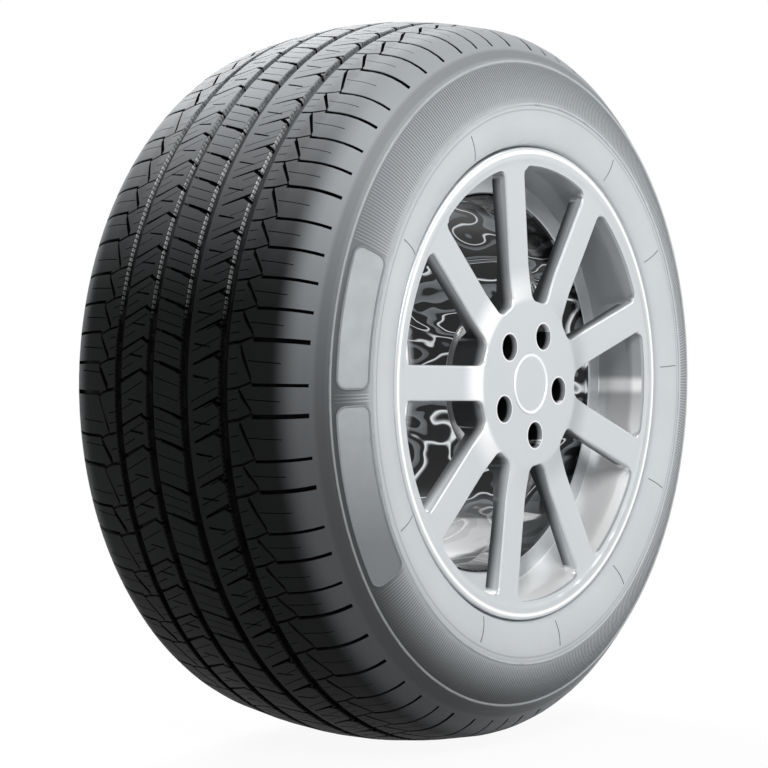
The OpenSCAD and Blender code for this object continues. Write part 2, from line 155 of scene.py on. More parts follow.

# The painted reflection in the shiny barrel, from one place in its swirls to the next: dark, grey and bright
CHROME_BANDS = [
    (0.0, "#0b0c0e"), (0.33, "#0b0c0e"), (0.335, "#5c6063"), (0.385, "#4a4d50"), (0.39, "#101113"),
    (0.43, "#0b0c0e"), (0.436, "#d8dcde"), (0.446, "#8b8f92"), (0.45, "#141517"), (0.5, "#0b0c0e"),
    (0.505, "#686c6f"), (0.56, "#54585b"), (0.565, "#0d0e10"), (0.6, "#17181a"), (0.61, "#e4e8ea"),
    (0.625, "#787c7f"), (0.63, "#0d0e10"), (1.0, "#1a1b1d")]

# Soft lights: name, place, size in metres and power in watts
SOFT_BOXES = [("key_light", (1.6, -2.4, 1.35), 1.4, 33),
              ("side_light", (-2.2, -1.9, 1.9), 1.2, 68),
              ("back_light", (1.2, 1.9, 2.3), 2.0, 130)]

# Camera: how far the lens stands from the wheel centre, from which side, and its length on a 36 mm frame
CAMERA_DISTANCE = 2.34
CAMERA_AZIMUTH = -53.77
CAMERA_ELEVATION = 1.55
CAMERA_LENS = 112.9
# The photo's middle lies this far left of and below the wheel centre
AIM_LEFT = 0.0194
AIM_DOWN = 0.0027


def linear(hex_colour):
    """sRGB hex to linear RGBA."""
    values = [int(hex_colour[i:i + 2], 16) / 255 for i in (1, 3, 5)]
    return [v / 12.92 if v <= 0.04045 else ((v + 0.055) / 1.055) ** 2.4 for v in values] + [1.0]


def add(tree, kind, inputs=None, **settings):
    """Adds a node, sets its properties, and fills its inputs with values or links. A node that is given as
    an input is linked by its first output."""
    node = tree.nodes.new(kind)
    for name, value in settings.items():
        setattr(node, name, value)
    for name, value in (inputs or {}).items():
        if isinstance(value, bpy.types.Node):
            value = value.outputs[0]
        if isinstance(value, bpy.types.NodeSocket):
            tree.links.new(value, node.inputs[name])
        else:
            node.inputs[name].default_value = value
    return node


def new_material(name):
    """A material with an empty node tree."""
    material = bpy.data.materials.new(name)
    material.use_nodes = True
    tree = material.node_tree
    tree.nodes.clear()
    return material, tree


def surface(tree, shader):
    """The shader as the material's surface."""
    add(tree, "ShaderNodeOutputMaterial", {"Surface": shader})


def place_and_axes(tree):
    """The place in metres, and its three axes."""
    place = add(tree, "ShaderNodeTexCoord").outputs["Object"]
    return place, add(tree, "ShaderNodeSeparateXYZ", {"Vector": place}).outputs


def radius_and_angle(tree, axes):
    """The radius from the axle, and the angle round it from +X toward +Z."""
    flat = add(tree, "ShaderNodeCombineXYZ", {"X": axes["X"], "Z": axes["Z"]})
    radius = add(tree, "ShaderNodeVectorMath", {0: flat}, operation="LENGTH")
    angle = add(tree, "ShaderNodeMath", {0: axes["Z"], 1: axes["X"]}, operation="ARCTAN2")
    return radius.outputs["Value"], angle


def rubber_surface(tree, colour, place=None, grain=0.0):
    """Matt rubber of a colour. Its grain, where it has one, is that of the mould, about 1 mm across."""
    inputs = {"Base Color": colour, "Roughness": 0.6, "Specular IOR Level": 0.06}
    if grain:
        noise = add(tree, "ShaderNodeTexNoise", {"Vector": place, "Scale": 900.0, "Detail": 2.0})
        bump = add(tree, "ShaderNodeBump",
                   {"Height": noise.outputs["Fac"], "Strength": grain, "Distance": 0.0004})
        inputs["Normal"] = bump
    surface(tree, add(tree, "ShaderNodeBsdfPrincipled", inputs))


def tread_depth(tree, across, radius):
    """How far below the tread's own outline a point lies: 0 on a block, more in a groove or slot."""
    lean = math.asin(CROWN_HALF / CROWN_ARC)
    edge = TYRE_R - CROWN_ARC * (1 - math.cos(lean))
    square = add(tree, "ShaderNodeMath", {0: across, 1: across}, operation="MULTIPLY")
    rest = add(tree, "ShaderNodeMath", {0: CROWN_ARC ** 2, 1: square}, operation="SUBTRACT")
    root = add(tree, "ShaderNodeMath", {0: rest, 1: 0.5}, operation="POWER")
    crown = add(tree, "ShaderNodeMath", {0: root, 1: TYRE_R - CROWN_ARC}, operation="ADD")
    reach = add(tree, "ShaderNodeMapRange",
                {"Value": across, "From Min": CROWN_HALF, "From Max": CROWN_HALF + SHOULDER_ARC,
                 "To Min": math.sin(lean), "To Max": 1 + math.sin(lean)}, clamp=False)
    drop = add(tree, "ShaderNodeMath", {0: reach}, operation="ARCSINE")
    fall = add(tree, "ShaderNodeMath", {0: drop}, operation="COSINE")
    shoulder = add(tree, "ShaderNodeMath",
                   {0: fall, 1: SHOULDER_ARC, 2: edge - SHOULDER_ARC * math.cos(lean)},
                   operation="MULTIPLY_ADD")
    past = add(tree, "ShaderNodeMath", {0: across, 1: CROWN_HALF}, operation="GREATER_THAN")
    outline = add(tree, "ShaderNodeMix", {"Factor": past, "A": crown, "B": shoulder}, data_type="FLOAT")
    return add(tree, "ShaderNodeMath", {0: outline, 1: radius}, operation="SUBTRACT")


def top_light(tree, height):
    """How much of the light from above a part of the tread catches: 0 from the axle down, 1 at the top."""
    rise = add(tree, "ShaderNodeMapRange", {"Value": height, "From Min": 0.06, "From Max": 0.26})
    return add(tree, "ShaderNodeMath", {0: rise, 1: 2.1}, operation="POWER")


def sidewall_tone(tree, cloud, radius, angle, band_shade_share):
    """Colour of the sidewall: pale beside the rim, partly painted light, with painted shade outside and low
    on the left, painted shade in the hatched band, and a painted highlight and shade at the shoulder ring.
    """
    pale = add(tree, "ShaderNodeMixRGB",
               {"Fac": cloud, "Color1": linear("#bec2c5"), "Color2": linear("#cbcfd2")})
    # Painted shade: the outer sidewall darkens toward DARK_SIDE, and from pale to dark outward between the
    # PALE_TO_DARK radii.
    turn = add(tree, "ShaderNodeMath", {0: angle, 1: math.radians(DARK_SIDE)}, operation="SUBTRACT")
    toward = add(tree, "ShaderNodeMath", {0: turn}, operation="COSINE")
    shade_way = add(tree, "ShaderNodeMapRange",
                   {"Value": toward, "From Min": 0.0, "From Max": 0.98}, interpolation_type="SMOOTHSTEP")
    outer = add(tree, "ShaderNodeMixRGB",
                {"Fac": shade_way, "Color1": linear("#a2a6a9"), "Color2": linear("#494b4d")})
    out_way = add(tree, "ShaderNodeMapRange",
                  {"Value": radius, "From Min": PALE_TO_DARK[0], "From Max": PALE_TO_DARK[1]},
                  interpolation_type="SMOOTHSTEP")
    wall = add(tree, "ShaderNodeMixRGB", {"Fac": out_way, "Color1": pale, "Color2": outer})
    # Painted shade on the floor of the hatched band, between its ribs, by the share given.
    band_in = add(tree, "ShaderNodeMapRange",
                  {"Value": radius, "From Min": BAND_IN[0], "From Max": BAND_IN[1]})
    band_out = add(tree, "ShaderNodeMapRange",
                   {"Value": radius, "From Min": BAND_OUT[0], "From Max": BAND_OUT[1]})
    band = add(tree, "ShaderNodeMath", {0: band_in, 1: band_out}, operation="MULTIPLY")
    thin = add(tree, "ShaderNodeMath", {0: band, 1: band_shade_share}, operation="MULTIPLY")
    hatched = add(tree, "ShaderNodeMixRGB", {"Fac": thin, "Color1": wall, "Color2": linear("#3a3c3d")})
    # A painted highlight and painted shade at the shoulder ring, and a dark line nearer the rim.
    for inner, outer, share, tone in RINGS:
        off = add(tree, "ShaderNodeMath", {0: radius, 1: (inner + outer) / 2}, operation="SUBTRACT")
        off = add(tree, "ShaderNodeMath", {0: off}, operation="ABSOLUTE")
        near = add(tree, "ShaderNodeMapRange",
                   {"Value": off, "From Min": (outer - inner) / 2, "From Max": (outer - inner) / 4,
                    "To Max": share})
        hatched = add(tree, "ShaderNodeMixRGB", {"Fac": near, "Color1": hatched, "Color2": linear(tone)})
    return hatched


def moulded_rubber(name="moulded_rubber", band_shade_share=0.42):
    """Vulcanised tyre rubber: matt black on the tread, painted pale grey over the top as light from above,
    and pale grey on the smooth sidewalls, partly painted light, with painted shade low down on the left.
    Grooves, slots and sipes are painted black inside as shade, and over the top the main grooves are painted
    lit grey. The floor of the hatched band is darkened, by the share given, as painted shade between the
    ribs, and not so the ribs on it."""
    material, tree = new_material(name)
    place, axes = place_and_axes(tree)
    radius, angle = radius_and_angle(tree, axes)
    side = add(tree, "ShaderNodeMath", {0: axes["Y"]}, operation="ABSOLUTE")
    cloud = add(tree, "ShaderNodeTexNoise", {"Vector": place, "Scale": 14.0, "Detail": 5.0})
    # Painted light: the top of the tread is painted pale grey, as if lit from above.
    painted_top_light = top_light(tree, axes["Z"])
    black = add(tree, "ShaderNodeMixRGB",
                {"Fac": cloud.outputs["Fac"], "Color1": linear("#0e0f0f"), "Color2": linear("#131414")})
    tread = add(tree, "ShaderNodeMixRGB", {"Fac": painted_top_light, "Color1": black, "Color2": linear("#9a9da0")})

    wall = sidewall_tone(tree, cloud.outputs["Fac"], radius, angle, band_shade_share)
    to_side = add(tree, "ShaderNodeMapRange",
                  {"Value": side, "From Min": SIDE_START[0], "From Max": SIDE_START[1]},
                  interpolation_type="SMOOTHSTEP")
    skin = add(tree, "ShaderNodeMixRGB", {"Fac": to_side, "Color1": tread, "Color2": wall})

    # Painted shade: grooves, slots and sipes are painted black inside, and over the top the main grooves are
    # painted lit grey.
    depth = tread_depth(tree, side, radius)
    deep = add(tree, "ShaderNodeMapRange", {"Value": depth, "From Min": 0.0004, "From Max": 0.0011})
    within = add(tree, "ShaderNodeMath", {0: side, 1: SLOT_END}, operation="LESS_THAN")
    cut = add(tree, "ShaderNodeMath", {0: deep, 1: within}, operation="MULTIPLY")
    inside = add(tree, "ShaderNodeMixRGB",
                 {"Fac": in_groove(tree, side), "Color1": linear("#060607"), "Color2": linear("#74777a")})
    cut_shade = add(tree, "ShaderNodeMixRGB", {"Fac": painted_top_light, "Color1": linear("#060607"), "Color2": inside})
    colour = add(tree, "ShaderNodeMixRGB", {"Fac": cut, "Color1": skin, "Color2": cut_shade})
    rubber_surface(tree, colour, place, 0.2)
    return material


def in_groove(tree, across):
    """1 inside the main grooves and 0 beside them."""
    found = 0.0
    for groove in GROOVES:
        off = add(tree, "ShaderNodeMath", {0: across, 1: groove}, operation="SUBTRACT")
        off = add(tree, "ShaderNodeMath", {0: off}, operation="ABSOLUTE")
        inside = add(tree, "ShaderNodeMath", {0: off, 1: GROOVE_REACH}, operation="LESS_THAN")
        found = add(tree, "ShaderNodeMath", {0: found, 1: inside}, operation="MAXIMUM")
    return found


def highlit_groove_ribs():
    """Rubber of the fine ribs on the walls of the grooves: painted highlights above the axle, pale and broken
    up by a grain, greyer at the very top, and black below.
    """
    material, tree = new_material("highlit_groove_ribs")
    place, axes = place_and_axes(tree)
    rise = add(tree, "ShaderNodeMapRange", {"Value": axes["Z"], "From Min": 0.06, "From Max": 0.2})
    grain = add(tree, "ShaderNodeTexNoise", {"Vector": place, "Scale": 240.0, "Detail": 2.0})
    spread = add(tree, "ShaderNodeMapRange",
                 {"Value": grain.outputs["Fac"], "From Min": 0.35, "From Max": 0.6, "To Min": 0.5,
                  "To Max": 1.0})
    share = add(tree, "ShaderNodeMath", {0: rise, 1: spread}, operation="MULTIPLY")
    over = add(tree, "ShaderNodeMapRange", {"Value": axes["Z"], "From Min": 0.18, "From Max": 0.28})
    rib_highlight = add(tree, "ShaderNodeMixRGB",
                {"Fac": over, "Color1": linear("#e4e7e8"), "Color2": linear("#8f9294")})
    colour = add(tree, "ShaderNodeMixRGB", {"Fac": share, "Color1": linear("#0b0b0c"), "Color2": rib_highlight})
    rubber_surface(tree, colour)
    return material


def mark_rubber():
    """The raised lines of the sidewall: the same rubber in a darker grey with a grain, and painted shade
    lower down.
    """
    material, tree = new_material("mark_rubber")
    place, axes = place_and_axes(tree)
    grain = add(tree, "ShaderNodeTexNoise", {"Vector": place, "Scale": 60.0, "Detail": 3.0})
    low = add(tree, "ShaderNodeMapRange",
              {"Value": axes["Z"], "From Min": -0.05, "From Max": -0.25, "To Min": 0.0, "To Max": 0.5})
    light = add(tree, "ShaderNodeMixRGB",
                {"Fac": grain.outputs["Fac"], "Color1": linear("#7b7f82"), "Color2": linear("#8f9396")})
    colour = add(tree, "ShaderNodeMixRGB", {"Fac": low, "Color1": light, "Color2": linear("#4a4d4f")})
    rubber_surface(tree, colour)
    return material


def panel_rubber():
    """The bare panels: the pale sidewall rubber with the fine cloudy grain of a sand-blasted mould, and
    painted shade lower down.
    """
    material, tree = new_material("panel_rubber")
    place, axes = place_and_axes(tree)
    cloud = add(tree, "ShaderNodeTexNoise", {"Vector": place, "Scale": 60.0, "Detail": 5.0})
    light = add(tree, "ShaderNodeMixRGB",
                {"Fac": cloud.outputs["Fac"], "Color1": linear("#9da1a4"), "Color2": linear("#b6babd")})
    low = add(tree, "ShaderNodeMapRange", {"Value": axes["Z"], "From Min": 0.03, "From Max": -0.13})
    colour = add(tree, "ShaderNodeMixRGB", {"Fac": low, "Color1": light, "Color2": linear("#767a7d")})
    rubber_surface(tree, colour, place, 0.3)
    return material


def bolt_distance(tree, radius, angle):
    """Distance from the axis of the nearest bolt hole."""
    step = math.radians(360 / BOLTS)
    turn = add(tree, "ShaderNodeMath",
               {0: angle, 1: math.radians(BOLT_PHASE) - step / 2}, operation="SUBTRACT")
    fold = add(tree, "ShaderNodeMath", {0: turn, 1: step}, operation="FLOORED_MODULO")
    off = add(tree, "ShaderNodeMath", {0: fold, 1: step / 2}, operation="SUBTRACT")
    cosine = add(tree, "ShaderNodeMath", {0: off}, operation="COSINE")
    sine = add(tree, "ShaderNodeMath", {0: off}, operation="SINE")
    out = add(tree, "ShaderNodeMath", {0: radius, 1: cosine, 2: -BOLT_R}, operation="MULTIPLY_ADD")
    across = add(tree, "ShaderNodeMath", {0: radius, 1: sine}, operation="MULTIPLY")
    flat = add(tree, "ShaderNodeCombineXYZ", {"X": out, "Y": across})
    return add(tree, "ShaderNodeVectorMath", {0: flat}, operation="LENGTH").outputs["Value"]


def painted_face(tree, place, radius, angle):
    """Silver paint with its flake. The roots of the spokes carry a painted highlight on the left and painted
    shade on the right, and the ring on the cap a painted highlight.
    """
    flake = add(tree, "ShaderNodeTexNoise", {"Vector": place, "Scale": 2500.0, "Detail": 1.0})
    paint = add(tree, "ShaderNodeMixRGB",
                {"Fac": flake.outputs["Fac"], "Color1": linear("#bfc4c7"), "Color2": linear("#cdd1d4")})
    # Painted highlight on the roots of the spokes toward the left, painted shade toward the right.
    leftward = add(tree, "ShaderNodeMath", {0: angle, 1: math.radians(165)}, operation="SUBTRACT")
    leftward = add(tree, "ShaderNodeMath", {0: leftward}, operation="COSINE")
    root_in = add(tree, "ShaderNodeMapRange",
                  {"Value": radius, "From Min": ROOT_IN[0], "From Max": ROOT_IN[1]})
    root_out = add(tree, "ShaderNodeMapRange",
                   {"Value": radius, "From Min": ROOT_OUT[0], "From Max": ROOT_OUT[1]},
                   interpolation_type="SMOOTHSTEP")
    root = add(tree, "ShaderNodeMath", {0: root_in, 1: root_out}, operation="MULTIPLY")
    lit = add(tree, "ShaderNodeMath", {0: root, 1: leftward}, operation="MULTIPLY")
    bright = add(tree, "ShaderNodeMixRGB",
                 {"Fac": lit, "Color1": paint, "Color2": linear("#ffffff")}, use_clamp=True)
    dim = add(tree, "ShaderNodeMath", {0: lit, 1: -0.8}, operation="MULTIPLY", use_clamp=True)
    painted_roots = add(tree, "ShaderNodeMixRGB", {"Fac": dim, "Color1": bright, "Color2": linear("#a3a8ab")})
    # Painted highlight: a near-white ring on the cap.
    ring_in = add(tree, "ShaderNodeMath", {0: radius, 1: CAP_RING[0]}, operation="GREATER_THAN")
    ring_out = add(tree, "ShaderNodeMath", {0: radius, 1: CAP_RING[1]}, operation="LESS_THAN")
    ring = add(tree, "ShaderNodeMath", {0: ring_in, 1: ring_out}, operation="MULTIPLY")
    return add(tree, "ShaderNodeMixRGB", {"Fac": ring, "Color1": painted_roots, "Color2": linear("#f4f6f7")})


def shaded_flanks(tree, colour, radius, along):
    """The sides of the spokes go dark behind the face, and their backs are grey."""
    spoke_back = add(tree, "ShaderNodeMapRange",
                     {"Value": along, "From Min": HUB_Y + FLANK_DEPTH[0], "From Max": HUB_Y + FLANK_DEPTH[1]},
                     interpolation_type="SMOOTHSTEP")
    inward = add(tree, "ShaderNodeMapRange",
                 {"Value": radius, "From Min": FLANK_R[0], "From Max": FLANK_R[1]})
    beyond = add(tree, "ShaderNodeMapRange", {"Value": along, "From Min": FLANK_Y[0], "From Max": FLANK_Y[1]})
    flank = add(tree, "ShaderNodeMath", {0: inward, 1: beyond}, operation="MULTIPLY")
    shaded = add(tree, "ShaderNodeMath", {0: spoke_back, 1: flank}, operation="MULTIPLY")
    way = add(tree, "ShaderNodeNewGeometry")
    way = add(tree, "ShaderNodeSeparateXYZ", {"Vector": way.outputs["Normal"]})
    rear = add(tree, "ShaderNodeMapRange", {"Value": way.outputs["Y"], "From Min": 0.3, "From Max": 0.6})
    unlit = add(tree, "ShaderNodeMixRGB",
                {"Fac": rear, "Color1": linear("#383b3d"), "Color2": linear("#8d9194")})
    return add(tree, "ShaderNodeMixRGB", {"Fac": shaded, "Color1": colour, "Color2": unlit})


def well_shade_and_edge_highlights(tree, colour, radius, angle, along):
    """Bolt wells painted black inside as shade, and painted highlights in white on the edges of the wells and
    on the lip.
    """
    # Painted shade: the bolt wells are black inside.
    bolt_off = bolt_distance(tree, radius, angle)
    near_bolt = add(tree, "ShaderNodeMath", {0: bolt_off, 1: BOLT_WELL_R}, operation="LESS_THAN")
    sunk = add(tree, "ShaderNodeMapRange",
               {"Value": along, "From Min": HUB_Y + WELL_DEPTH[0], "From Max": HUB_Y + WELL_DEPTH[1]})
    well = add(tree, "ShaderNodeMath", {0: near_bolt, 1: sunk}, operation="MULTIPLY")
    well_shade = add(tree, "ShaderNodeMixRGB", {"Fac": well, "Color1": colour, "Color2": linear("#0c0d0e")})

    # Painted highlights: white on the chamfers of the wells and on the lip.
    bolt_edge = add(tree, "ShaderNodeMapRange",
                    {"Value": bolt_off, "From Min": BOLT_EDGE[0], "From Max": BOLT_EDGE[1]})
    chamfer = add(tree, "ShaderNodeMath", {0: bolt_edge, 1: near_bolt}, operation="SUBTRACT")
    lip_in = add(tree, "ShaderNodeMapRange", {"Value": radius, "From Min": LIP_IN[0], "From Max": LIP_IN[1]})
    lip_out = add(tree, "ShaderNodeMapRange",
                  {"Value": radius, "From Min": LIP_OUT[0], "From Max": LIP_OUT[1]})
    lip = add(tree, "ShaderNodeMath", {0: lip_in, 1: lip_out}, operation="MULTIPLY")
    edges = add(tree, "ShaderNodeMath", {0: lip, 1: chamfer}, operation="MAXIMUM")
    before = add(tree, "ShaderNodeMath", {0: along, 1: HUB_Y + HIGHLIGHT_DEPTH}, operation="LESS_THAN")
    edges = add(tree, "ShaderNodeMath", {0: edges, 1: before}, operation="MULTIPLY")
    return add(tree, "ShaderNodeMixRGB", {"Fac": edges, "Color1": well_shade, "Color2": linear("#ffffff")})


def painted_collar_reflection(tree, colour, axes, radius):
    """The ring at the mouth of the barrel, with a painted reflection: white low down and grey higher up, and
    a painted streak of light level with the axle.
    """
    # Painted reflection: white low down, grey higher up, and a white streak level with the axle.
    high = add(tree, "ShaderNodeMapRange",
               {"Value": axes["Z"], "From Min": -0.11, "From Max": 0.02}, interpolation_type="SMOOTHSTEP")
    sky = add(tree, "ShaderNodeMixRGB",
              {"Fac": high, "Color1": linear("#ffffff"), "Color2": linear("#9c9fa2")})
    level = add(tree, "ShaderNodeMath", {0: axes["Z"], 1: 0.006}, operation="ADD")
    level = add(tree, "ShaderNodeMath", {0: level}, operation="ABSOLUTE")
    streak = add(tree, "ShaderNodeMapRange",
                 {"Value": level, "From Min": 0.011, "From Max": 0.002}, interpolation_type="SMOOTHSTEP")
    collar_reflection = add(tree, "ShaderNodeMixRGB", {"Fac": streak, "Color1": sky, "Color2": linear("#ffffff")})
    outer = add(tree, "ShaderNodeMapRange", {"Value": radius, "From Min": COLLAR[0], "From Max": COLLAR[1]})
    mouth = add(tree, "ShaderNodeMapRange",
                {"Value": axes["Y"], "From Min": HUB_Y - 0.0005, "From Max": HUB_Y + 0.0005})
    collar = add(tree, "ShaderNodeMath", {0: outer, 1: mouth}, operation="MULTIPLY")
    return add(tree, "ShaderNodeMixRGB", {"Fac": collar, "Color1": colour, "Color2": collar_reflection})


def mirrored_swirls(tree, place, axes, radius):
    """The painted reflection in the barrel, swirls of the dark inside of the wheel, plain toward the back
    flange and darker low down as painted shade; and how far it is rougher low down.
    """
    # Painted reflection: swirls of dark, grey and bright.
    stretched = add(tree, "ShaderNodeVectorMath", {0: place, 1: (1.0, 0.6, 1.0)}, operation="MULTIPLY")
    swirl = add(tree, "ShaderNodeTexNoise",
                {"Vector": stretched, "Scale": 10.0, "Detail": 2.0, "Roughness": 0.35, "Distortion": 1.8})
    mirror = add(tree, "ShaderNodeValToRGB", {"Fac": swirl.outputs["Fac"]})
    ramp = mirror.color_ramp
    ramp.elements[0].color = linear(CHROME_BANDS[0][1])
    ramp.elements[-1].color = linear(CHROME_BANDS[-1][1])
    for at, tone in CHROME_BANDS[1:-1]:
        ramp.elements.new(at).color = linear(tone)
    deep = add(tree, "ShaderNodeMapRange",
               {"Value": axes["Y"], "From Min": BACK_FLANGE_Y[0], "From Max": BACK_FLANGE_Y[1]})
    past = add(tree, "ShaderNodeMapRange",
               {"Value": radius, "From Min": BACK_FLANGE_R[0], "From Max": BACK_FLANGE_R[1]})
    plain = add(tree, "ShaderNodeMath", {0: deep, 1: past}, operation="MAXIMUM")
    bare = add(tree, "ShaderNodeMixRGB",
               {"Fac": plain, "Color1": mirror.outputs["Color"], "Color2": linear("#a6aaad")})
    # Painted shade: the barrel is darker low down.
    floor = add(tree, "ShaderNodeMapRange", {"Value": axes["Z"], "From Min": -0.115, "From Max": -0.135})
    painted_low_shade = add(tree, "ShaderNodeMath", {0: floor, 1: 0.75}, operation="MULTIPLY")
    bare = add(tree, "ShaderNodeMixRGB", {"Fac": painted_low_shade, "Color1": bare, "Color2": linear("#3c3f41")})
    return bare, floor


def silver_lacquer():
    """Cast aluminium under silver paint and clear lacquer on the face, with soft highlights, painted
    highlights on the spoke roots, the cap ring, the wells and the lip, and painted shade in the wells and on
    the flanks of the spokes. The collar behind the windows and the shiny barrel carry painted reflections,
    the barrel's of the dark inside of the wheel."""
    material, tree = new_material("silver_lacquer")
    place, axes = place_and_axes(tree)
    radius, angle = radius_and_angle(tree, axes)
    along = axes["Y"]
    front = painted_face(tree, place, radius, angle)
    front = shaded_flanks(tree, front, radius, along)
    front = well_shade_and_edge_highlights(tree, front, radius, angle, along)
    front = painted_collar_reflection(tree, front, axes, radius)
    bare, floor = mirrored_swirls(tree, place, axes, radius)
    wall = add(tree, "ShaderNodeMapRange",
               {"Value": radius, "From Min": BARREL_R[0], "From Max": BARREL_R[1]})
    behind = add(tree, "ShaderNodeMapRange",
                 {"Value": along, "From Min": BARREL_Y[0], "From Max": BARREL_Y[1]})
    barrel = add(tree, "ShaderNodeMath", {0: wall, 1: behind}, operation="MULTIPLY")
    colour = add(tree, "ShaderNodeMixRGB", {"Fac": barrel, "Color1": front, "Color2": bare})
    metallic = add(tree, "ShaderNodeMapRange", {"Value": barrel, "To Min": 0.4, "To Max": 1.0})
    rough = add(tree, "ShaderNodeMapRange", {"Value": barrel, "To Min": 0.34, "To Max": 0.12})
    low = add(tree, "ShaderNodeMath", {0: floor, 1: barrel}, operation="MULTIPLY")
    rough = add(tree, "ShaderNodeMapRange", {"Value": low, "To Min": rough, "To Max": 0.6})
    shader = add(tree, "ShaderNodeBsdfPrincipled",
                 {"Base Color": colour, "Roughness": rough, "Metallic": metallic, "Coat Weight": 0.4,
                  "Coat Roughness": 0.08})
    surface(tree, shader)
    return material


def plain_plastic(name, colour, roughness):
    """Moulded plastic of one colour, with a faint grain from the mould."""
    material, tree = new_material(name)
    place = add(tree, "ShaderNodeTexCoord").outputs["Object"]
    grain = add(tree, "ShaderNodeTexNoise", {"Vector": place, "Scale": 1200.0})
    bump = add(tree, "ShaderNodeBump", {"Height": grain.outputs["Fac"], "Strength": 0.15, "Distance": 0.0002})
    shader = add(tree, "ShaderNodeBsdfPrincipled",
                 {"Base Color": linear(colour), "Roughness": roughness, "Normal": bump})
    surface(tree, shader)
    return material


def turned_brass():
    """Turned brass: warm yellow metal with fine rings from the lathe."""
    material, tree = new_material("turned_brass")
    place = add(tree, "ShaderNodeTexCoord").outputs["Object"]
    rings = add(tree, "ShaderNodeTexWave", {"Vector": place, "Scale": 900.0}, bands_direction="Y")
    bump = add(tree, "ShaderNodeBump", {"Height": rings.outputs["Fac"], "Strength": 0.2, "Distance": 0.0001})
    shader = add(tree, "ShaderNodeBsdfPrincipled",
                 {"Base Color": linear("#c9a558"), "Metallic": 1.0, "Roughness": 0.3, "Normal": bump})
    surface(tree, shader)
    return material


def dress(piece, material):
    """The piece wears this material alone."""
    piece.data.materials.clear()
    piece.data.materials.append(material)


def deselect():
    """No object is selected."""
    bpy.ops.object.select_all(action="DESELECT")


def choose(*objects):
    """Only these objects are selected, and the first is active."""
    deselect()
    for piece in objects:
        piece.select_set(True)
    bpy.context.view_layer.objects.active = objects[0]


def apply(piece, kind, **settings):
    """Adds a modifier with its settings and applies it."""
    choose(piece)
    modifier = piece.modifiers.new(kind.lower(), kind)
    for name, value in settings.items():
        setattr(modifier, name, value)
    bpy.ops.object.modifier_apply(modifier=modifier.name)


def about_axle(angle):
    """The turn about the axle by an angle in degrees, from +X toward +Z."""
    return Matrix.Rotation(-math.radians(angle), 4, "Y")


def moved_copy(source, move):
    """A copy of an object with its mesh moved by a matrix."""
    copy = source.copy()
    copy.data = source.data.copy()
    copy.data.transform(move)
    bpy.context.scene.collection.objects.link(copy)
    return copy


def joined(pieces, name):
    """The pieces as one object of that name."""
    choose(*pieces)
    bpy.ops.object.join()
    pieces[0].name = name
    return pieces[0]


def cast_copy(node, name):
    """A copy of a CAD node whose loose triangles are joined up again into whole faces."""
    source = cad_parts[node]
    piece = source.copy()
    piece.data = source.data.copy()
    piece.name = name
    for key in list(piece.keys()):
        if key.startswith("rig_"):
            del piece[key]
    bpy.context.scene.collection.objects.link(piece)
    piece.parent = None
    piece.matrix_world = Matrix.Identity(4)
    choose(piece)
    bpy.ops.object.mode_set(mode="EDIT")
    bpy.ops.mesh.select_all(action="SELECT")
    bpy.ops.mesh.remove_doubles(threshold=0.000002)
    bpy.ops.object.mode_set(mode="OBJECT")
    return piece


def crown_radius(across):
    """Radius of the tread at a distance from its middle plane."""
    across = abs(across)
    if across <= CROWN_HALF:
        return TYRE_R - CROWN_ARC + math.sqrt(CROWN_ARC ** 2 - across ** 2)
    lean = math.asin(CROWN_HALF / CROWN_ARC)
    edge = TYRE_R - CROWN_ARC * (1 - math.cos(lean))
    reach = (across - CROWN_HALF) / SHOULDER_ARC + math.sin(lean)
    return edge - SHOULDER_ARC * (math.cos(lean) - math.sqrt(1 - reach ** 2))


def side_y(radius):
    """Distance of the sidewall from the middle plane at a radius."""
    if radius >= SIDE_MID_R:
        return SECTION_HALF - SIDE_ARC + math.sqrt(SIDE_ARC ** 2 - (radius - SIDE_MID_R) ** 2)
    return SECTION_HALF - LOWER_ARC + math.sqrt(LOWER_ARC ** 2 - (SIDE_MID_R - radius) ** 2)


def on_side(radius, angle, side=-1):
    """A point of the sidewall. The outer side is -1."""
    turn = math.radians(angle)
    return Vector((radius * math.cos(turn), side * side_y(radius), radius * math.sin(turn)))


def sipe(start, end, depth=SIPE_DEPTH, width=SIPE_WIDTH):
    """One thin blade in edit mode. Start and end are (distance across, degrees past the pitch)."""
    middle = (start[1] + end[1]) / 2
    across = (start[0] + end[0]) / 2
    round_way = math.radians(end[1] - start[1]) * TYRE_R
    length = math.hypot(end[0] - start[0], round_way)
    outside = max(crown_radius(start[0]), crown_radius(end[0])) + BLADE_OVER
    bottom = min(crown_radius(start[0]), crown_radius(end[0])) - depth
    stand = about_axle(middle)
    lean = Matrix.Rotation(math.atan2(-round_way, end[0] - start[0]), 4, "X")
    place = stand @ Vector(((outside + bottom) / 2, -across, 0))
    bpy.ops.mesh.primitive_cube_add(size=1, location=place, rotation=(stand @ lean).to_euler(),
                                    scale=(outside - bottom, length, width))


def half_sipes(turn, pitch):
    """The sipes of one pitch on one half of the tread. A turned half is the same, end for end."""
    def at(across, angle):
        return (-across, HALF_TURN - angle) if turn else (across, angle)

    third = pitch / 3
    sipe(at(0.083, pitch / 2 - 0.4), at(0.113, pitch / 2 - 0.1))
    for i in (1, 2):
        sipe(at(0.0655, 0.55 + i * third), at(0.0735, 0.3 + i * third))
    sipe(at(0.0275, 3.7 - third * 0.9), at(0.0545, 1.6 - third * 0.9))
    sipe(at(0.041, 2.7 - third * 1.9), at(0.0545, 1.7 - third * 1.9))


def centre_sipes(pitch):
    """The two sipes across one block of the middle rib."""
    for i in (1, 2):
        sipe((-0.0135, 3.3 + i * pitch / 3), (0.0135, 4.5 + i * pitch / 3))


